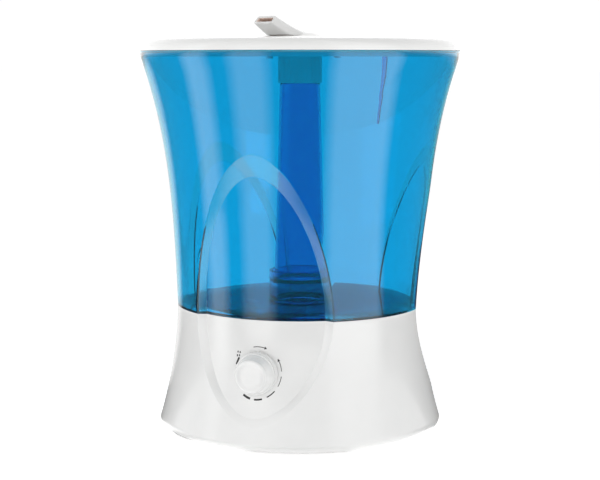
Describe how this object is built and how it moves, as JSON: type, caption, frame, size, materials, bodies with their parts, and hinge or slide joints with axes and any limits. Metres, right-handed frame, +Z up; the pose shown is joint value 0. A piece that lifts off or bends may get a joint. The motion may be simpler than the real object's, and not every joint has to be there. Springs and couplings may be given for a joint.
{
  "type": "cool mist humidifier",
  "caption": "Waisted white base with a dial, flared translucent blue water tank with a central mist tube, and a white lid with a turning spout.",
  "frame": {"origin": "centre of the base on the plane the feet stand on", "axes": "+Z up along the mist tube, -Y towards the dial, +Y towards the cord inlet"},
  "size_m": [0.28, 0.28, 0.3602],
  "materials": {
    "white_shell": "moulded, glossy",
    "white_inner": "moulded, satin",
    "blue_tank": "moulded, clear tinted",
    "blue_tube": "moulded, clear tinted",
    "grey_rubber": "moulded, matte",
    "steel": "zinc plated",
    "aluminium": "extruded",
    "ceramic": "silvered ceramic",
    "circuit_board": "solder mask",
    "components": "moulded",
    "black_plastic": "moulded, satin",
    "float_foam": "closed-cell foam",
    "magnet": "sintered ferrite",
    "reed_glass": "drawn",
    "cap_plastic": "moulded"
  },
  "bodies": {
    "base": {"base_housing": "white_shell", "bottom_cover": "white_inner", "rubber_feet": "grey_rubber", "cover_screws": "steel", "cord_gland": "grey_rubber", "power_board": "circuit_board", "power_parts": "components", "control_board": "circuit_board", "control_parts": "components", "heat_sink": "aluminium", "board_screws": "steel", "nebuliser_disc": "ceramic", "nebuliser_seal": "grey_rubber", "nebuliser_clamp": "aluminium", "clamp_screws": "steel", "fan_frame": "black_plastic", "fan_screws": "steel", "air_duct": "white_inner", "float_retainer": "white_inner", "reed_switch": "reed_glass", "dial_control": "components", "control_nut": "steel"},
    "fan_rotor": {"fan_rotor": "black_plastic"},
    "float": {"float_ring": "float_foam", "float_magnet": "magnet"},
    "dial": {"dial_knob": "white_shell", "control_shaft": "steel"},
    "tank": {"tank_shell": "blue_tank", "tank_neck": "blue_tank", "mist_tube": "blue_tube", "tube_seal": "grey_rubber"},
    "tank_cap": {"tank_cap": "cap_plastic", "cap_gasket": "grey_rubber", "valve_spring": "steel"},
    "valve": {"valve_plunger": "cap_plastic", "valve_seal": "grey_rubber"},
    "lid": {"lid_cover": "white_shell", "nozzle_collar": "white_shell", "collar_screws": "steel"},
    "nozzle": {"nozzle_hood": "white_shell"}
  },
  "joints": [
    {"name": "tank_lift", "type": "slide", "parent": "base", "child": "tank", "axis": [0, 0, 1], "range_m": [0, 0.13]},
    {"name": "lid_lift", "type": "slide", "parent": "tank", "child": "lid", "axis": [0, 0, 1], "range_m": [0, 0.08]},
    {"name": "nozzle_turn", "type": "hinge", "parent": "lid", "child": "nozzle", "pos_m": [0, 0, 0.34], "axis": [0, 0, 1], "continuous": true},
    {"name": "cap_turn", "type": "hinge", "parent": "tank", "child": "tank_cap", "pos_m": [-0.01572, -0.06307, 0.1], "axis": [0, 0, -1], "range_deg": [0, 60]},
    {"name": "valve_slide", "type": "slide", "parent": "tank_cap", "child": "valve", "axis": [0, 0, -1], "range_m": [0, 0.004], "deforming": ["valve_spring"]},
    {"name": "dial_turn", "type": "hinge", "parent": "base", "child": "dial", "pos_m": [0, -0.115, 0.065], "axis": [0, 1, 0], "range_deg": [0, 280]},
    {"name": "fan_spin", "type": "hinge", "parent": "base", "child": "fan_rotor", "pos_m": [0, 0.064, 0.05], "axis": [0, 0, 1], "continuous": true},
    {"name": "float_slide", "type": "slide", "parent": "base", "child": "float", "axis": [0, 0, 1], "range_m": [0, 0.0065]}
  ],
  "couplings": [
    {"joint": "valve_slide", "follows": "tank_lift", "ratio": 0.0307}
  ]
}
